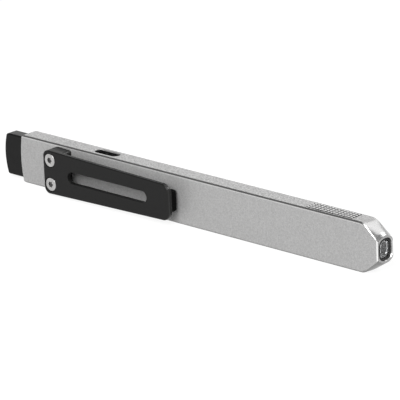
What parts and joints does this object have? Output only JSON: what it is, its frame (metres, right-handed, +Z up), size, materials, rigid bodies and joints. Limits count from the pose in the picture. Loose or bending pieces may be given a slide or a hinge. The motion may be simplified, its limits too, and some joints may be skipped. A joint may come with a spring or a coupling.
{
  "type": "slim rechargeable penlight",
  "caption": "Flat slim aluminium penlight with a window in its tapered nose, a black pocket clip, a push button in its tail and a charging socket in its side.",
  "frame": {"origin": "middle of the lower narrow side, halfway along the bar", "axes": "+X from the tail to the nose, +Y away from the clip, +Z up towards the charging socket"},
  "size_m": [0.1441, 0.0101, 0.0147],
  "materials": {
    "satin_aluminium": "bead-blasted and clear anodised",
    "clear_window": "clear polished window",
    "black_rubber": "matte black rubber",
    "mirror_coat": "vacuum-metallised plastic",
    "emitter_yellow": "phosphor under a clear dome",
    "white_board": "white solder mask",
    "bare_aluminium": "milled",
    "red_insulation": "silicone insulation",
    "black_insulation": "silicone insulation",
    "inner_plastic": "moulded, unpainted",
    "green_board": "green solder mask",
    "component_black": "moulded component bodies",
    "component_tan": "ceramic component bodies",
    "stainless": "plain stainless steel",
    "tongue_plastic": "moulded black plastic",
    "switch_plastic": "moulded light plastic",
    "cell_foil": "laminated foil pouch",
    "foam_tape": "double-sided foam tape",
    "black_plastic": "satin moulded black plastic",
    "black_aluminium": "milled and black anodised, satin"
  },
  "bodies": {
    "body": {"housing": "satin_aluminium", "lens": "clear_window", "lens_gasket": "black_rubber", "reflector": "mirror_coat", "led_emitter": "emitter_yellow", "led_board": "white_board", "heat_spreader": "bare_aluminium", "led_wire_positive": "red_insulation", "led_wire_negative": "black_insulation", "chassis": "inner_plastic", "main_board": "green_board", "driver_inductor": "component_black", "driver_chips": "component_black", "driver_passives": "component_tan", "usb_shell": "stainless", "usb_tongue": "tongue_plastic", "switch_body": "switch_plastic", "battery_cell": "cell_foil", "battery_pad": "foam_tape", "battery_protection_board": "green_board", "battery_tabs": "stainless", "tail_frame": "inner_plastic", "nut_plate": "stainless", "button_springs": "stainless", "clip": "black_aluminium", "clip_screws": "stainless"},
    "button": {"tail_button": "black_plastic", "button_seal": "black_rubber"},
    "plunger": {"switch_plunger": "inner_plastic"}
  },
  "joints": [
    {"name": "button_press", "type": "slide", "parent": "body", "child": "button", "axis": [1, 0, 0], "range_m": [0, 0.0008], "stiffness_N_per_m": 2000, "springref_m": -0.0004, "deforming": ["button_springs"]},
    {"name": "switch_press", "type": "slide", "parent": "body", "child": "plunger", "axis": [1, 0, 0], "range_m": [0, 0.0008]}
  ],
  "couplings": [
    {"joint": "switch_press", "follows": "button_press", "ratio": 1}
  ]
}
